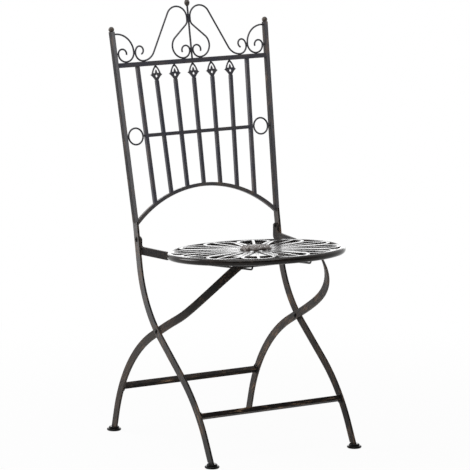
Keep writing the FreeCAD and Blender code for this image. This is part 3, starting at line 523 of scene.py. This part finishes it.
charcoal = {
    "lacquer": (0.049, 0.050, 0.064),
    "warm": (0.068, 0.065, 0.072),
    "bronze": (0.150, 0.108, 0.078),
    "bare": (0.170, 0.128, 0.096),
    "turn": (0, 0, 0),             # degrees
    "stretch": (1, 1, 8),          # streaks run along the longest
    "streakScale": 260,
    "streakBand": (0.5, 0.72),
    "streakShare": 0.4,
    "edge": 0.0012,
    "edgeShare": 0.4,
    "grain": 320,
    "rough": (0.30, 0.46),
    "shine": 0.28,
    "coat": 0.0,
    "coatRough": 0.05,
    "bump": 0.25,
}
brown = dict(
    charcoal, lacquer=(0.022, 0.021, 0.021), warm=(0.042, 0.036, 0.032), bronze=(0.250, 0.162, 0.106),
    bare=(0.280, 0.185, 0.125), streakBand=(0.47, 0.67), streakShare=0.75, edgeShare=0.8,
    rough=(0.40, 0.56), shine=0.12)
# the stiles' pale coat is painted light on their front and back faces
stile = dict(
    charcoal, turn=backLean, lacquer=(0.022, 0.022, 0.026), warm=(0.034, 0.031, 0.030),
    pale=(0.162, 0.160, 0.168), bronze=(0.300, 0.205, 0.150), streakShare=0.8, shine=0.14, **paintedLightBetweenSides)
finishes = {
    # painted light and shade: the left stile is the lit copy, the right stile a shaded copy with a darker pale
    # coat
    "stileLeftLit": stile,
    "stileRightShaded": dict(stile, pale=(0.104, 0.104, 0.114)),
    "plainBars": dict(
        charcoal, turn=backLean, lacquer=(0.061, 0.061, 0.076), warm=(0.088, 0.082, 0.088),
        bronze=(0.230, 0.160, 0.120), streakShare=0.7),
    "spears": dict(charcoal, turn=backLean, streakShare=0.2, edgeShare=0.2),
    "rails": dict(charcoal, stretch=(8, 1, 1), bronze=(0.200, 0.140, 0.102), streakShare=0.6),
    "arch": dict(
        charcoal, stretch=(4, 1, 1), lacquer=(0.068, 0.067, 0.075), warm=(0.092, 0.084, 0.082),
        bronze=(0.260, 0.176, 0.122), streakShare=0.7),
    "scrolls": dict(charcoal, stretch=even, lacquer=(0.032, 0.033, 0.040), streakShare=0.15, edgeShare=0.0),
    # paleHeights: from and to in metres, and the share of the pale coat at each; the pale coat is painted
    # light, and where it fades out that is painted shade
    # painted light and shade: the left front leg is the lit copy, paler on its sides and towards the top; the
    # right one a shaded copy, darker, with less pale coat low down
    "frontLegLeftLit": dict(
        brown, turn=frontLegLean, lacquer=(0.010, 0.010, 0.010), warm=(0.020, 0.018, 0.017),
        pale=(0.144, 0.142, 0.144), paleHeights=(0.10, 0.50, 0.24, 1), **paintedLightOnSides),
    "frontLegRightShaded": dict(
        brown, turn=frontLegLean, lacquer=(0.007, 0.006, 0.006), warm=(0.014, 0.012, 0.011),
        pale=(0.094, 0.085, 0.081), paleHeights=(0.20, 0.50, 0.05, 1), **paintedLightOnSides),
    # painted shade: the left rear leg is darker, and darker still towards the top, in the shade of the seat;
    # the right rear leg is a lit copy, paler than it
    "rearLegLeftShaded": dict(
        brown, turn=rearLegLean, lacquer=(0.005, 0.005, 0.005), warm=(0.012, 0.010, 0.009),
        pale=(0.062, 0.055, 0.051), paleHeights=(0.37, 0.24, 0, 1), streakShare=0.35, shine=0.06),
    "rearLegRightLit": dict(brown, turn=rearLegLean, lacquer=(0.040, 0.037, 0.036), warm=(0.058, 0.051, 0.047)),
    "stretchers": dict(
        charcoal, stretch=(9, 1, 1), lacquer=(0.009, 0.008, 0.008), warm=(0.020, 0.016, 0.014),
        bronze=(0.360, 0.235, 0.150), streakBand=(0.52, 0.69), streakShare=0.95, edgeShare=0.5, shine=0.05),
    "seatLeaves": dict(
        charcoal, centre=(seatLow + seatHigh) / 2, lacquer=(0.020, 0.020, 0.021), warm=(0.036, 0.034, 0.034),
        streakShare=0.3, edgeShare=0.1, grain=110, rough=(0.20, 0.40), shine=0.6, coat=0.4, coatRough=0.30,
        bump=0.04),
    "seatUnder": dict(
        brown, stretch=even, lacquer=(0.012, 0.012, 0.013), warm=(0.022, 0.020, 0.019), streakShare=0.2),
    "seatEdge": dict(
        charcoal, stretch=(2, 2, 1), lacquer=(0.008, 0.007, 0.0065), warm=(0.018, 0.014, 0.012),
        streakShare=0.22, edgeShare=0.0, rough=(0.08, 0.20), shine=0.10, coat=0.2, coatRough=0.08),
    "boss": dict(
        charcoal, stretch=even, lacquer=(0.040, 0.030, 0.026), warm=(0.090, 0.068, 0.058),
        bare=(0.34, 0.29, 0.26), edgeShare=0.8, rough=(0.16, 0.30), shine=0.5, coat=0.3, coatRough=0.15,
        bump=0.4),
    "finials": dict(
        charcoal, stretch=even, lacquer=(0.05, 0.042, 0.038), warm=(0.1, 0.078, 0.062), streakShare=0.7,
        edgeShare=0.3),
    "rivets": dict(
        charcoal, stretch=even, lacquer=(0.006, 0.006, 0.006), warm=(0.011, 0.010, 0.010), streakShare=0.2,
        edgeShare=0.1, rough=(0.2, 0.32), shine=0.1),
    "pads": dict(
        charcoal, stretch=even, lacquer=(0.006, 0.006, 0.006), warm=(0.011, 0.010, 0.009), streakShare=0.1,
        edgeShare=0.1, rough=(0.10, 0.18), shine=0.08),
}

# how the names of the nodes with each finish start
finishNodes = {
    "stileLeftLit": ("stile_left",),
    "stileRightShaded": ("stile_right",),
    "plainBars": ("inner_bar",),
    "spears": ("spear_",),
    "rails": ("top_rail", "cross_rail"),
    "arch": ("arch_rail",),
    "scrolls": ("corner_scroll", "crest_scroll", "crest_rod", "side_ring"),
    "frontLegLeftLit": ("front_leg_left",),
    "frontLegRightShaded": ("front_leg_right",),
    "rearLegLeftShaded": ("rear_leg_left",),
    "rearLegRightLit": ("rear_leg_right",),
    "stretchers": ("front_stretcher", "rear_stretcher"),
    "seatLeaves": ("seat_petal",),
    "seatUnder": ("seat_arm", "seat_hoop", "guide_wire", "glide_bar"),
    "seatEdge": ("seat_rim",),
    "boss": ("seat_rosette",),
    "finials": ("ball_finial", "crest_bud"),
    "rivets": ("fold_rivets", "seat_rivets"),
    "pads": ("front_foot", "rear_foot"),
}


def finishFor(node):
    return next(finish for finish, starts in finishNodes.items() if node.startswith(starts))


paints = {name: rubbedLacquerAndPaintedLight(name, setup) for name, setup in finishes.items()}
relief.data.materials.append(paints["boss"])
for bead in beads:
    bead.data.materials.append(paints["rivets"])
for node, part in nodes.items():
    for slot in part.material_slots:
        slot.material = paints[finishFor(node)]
print("paint on", len(nodes), "nodes")

bpy.context.view_layer.update()
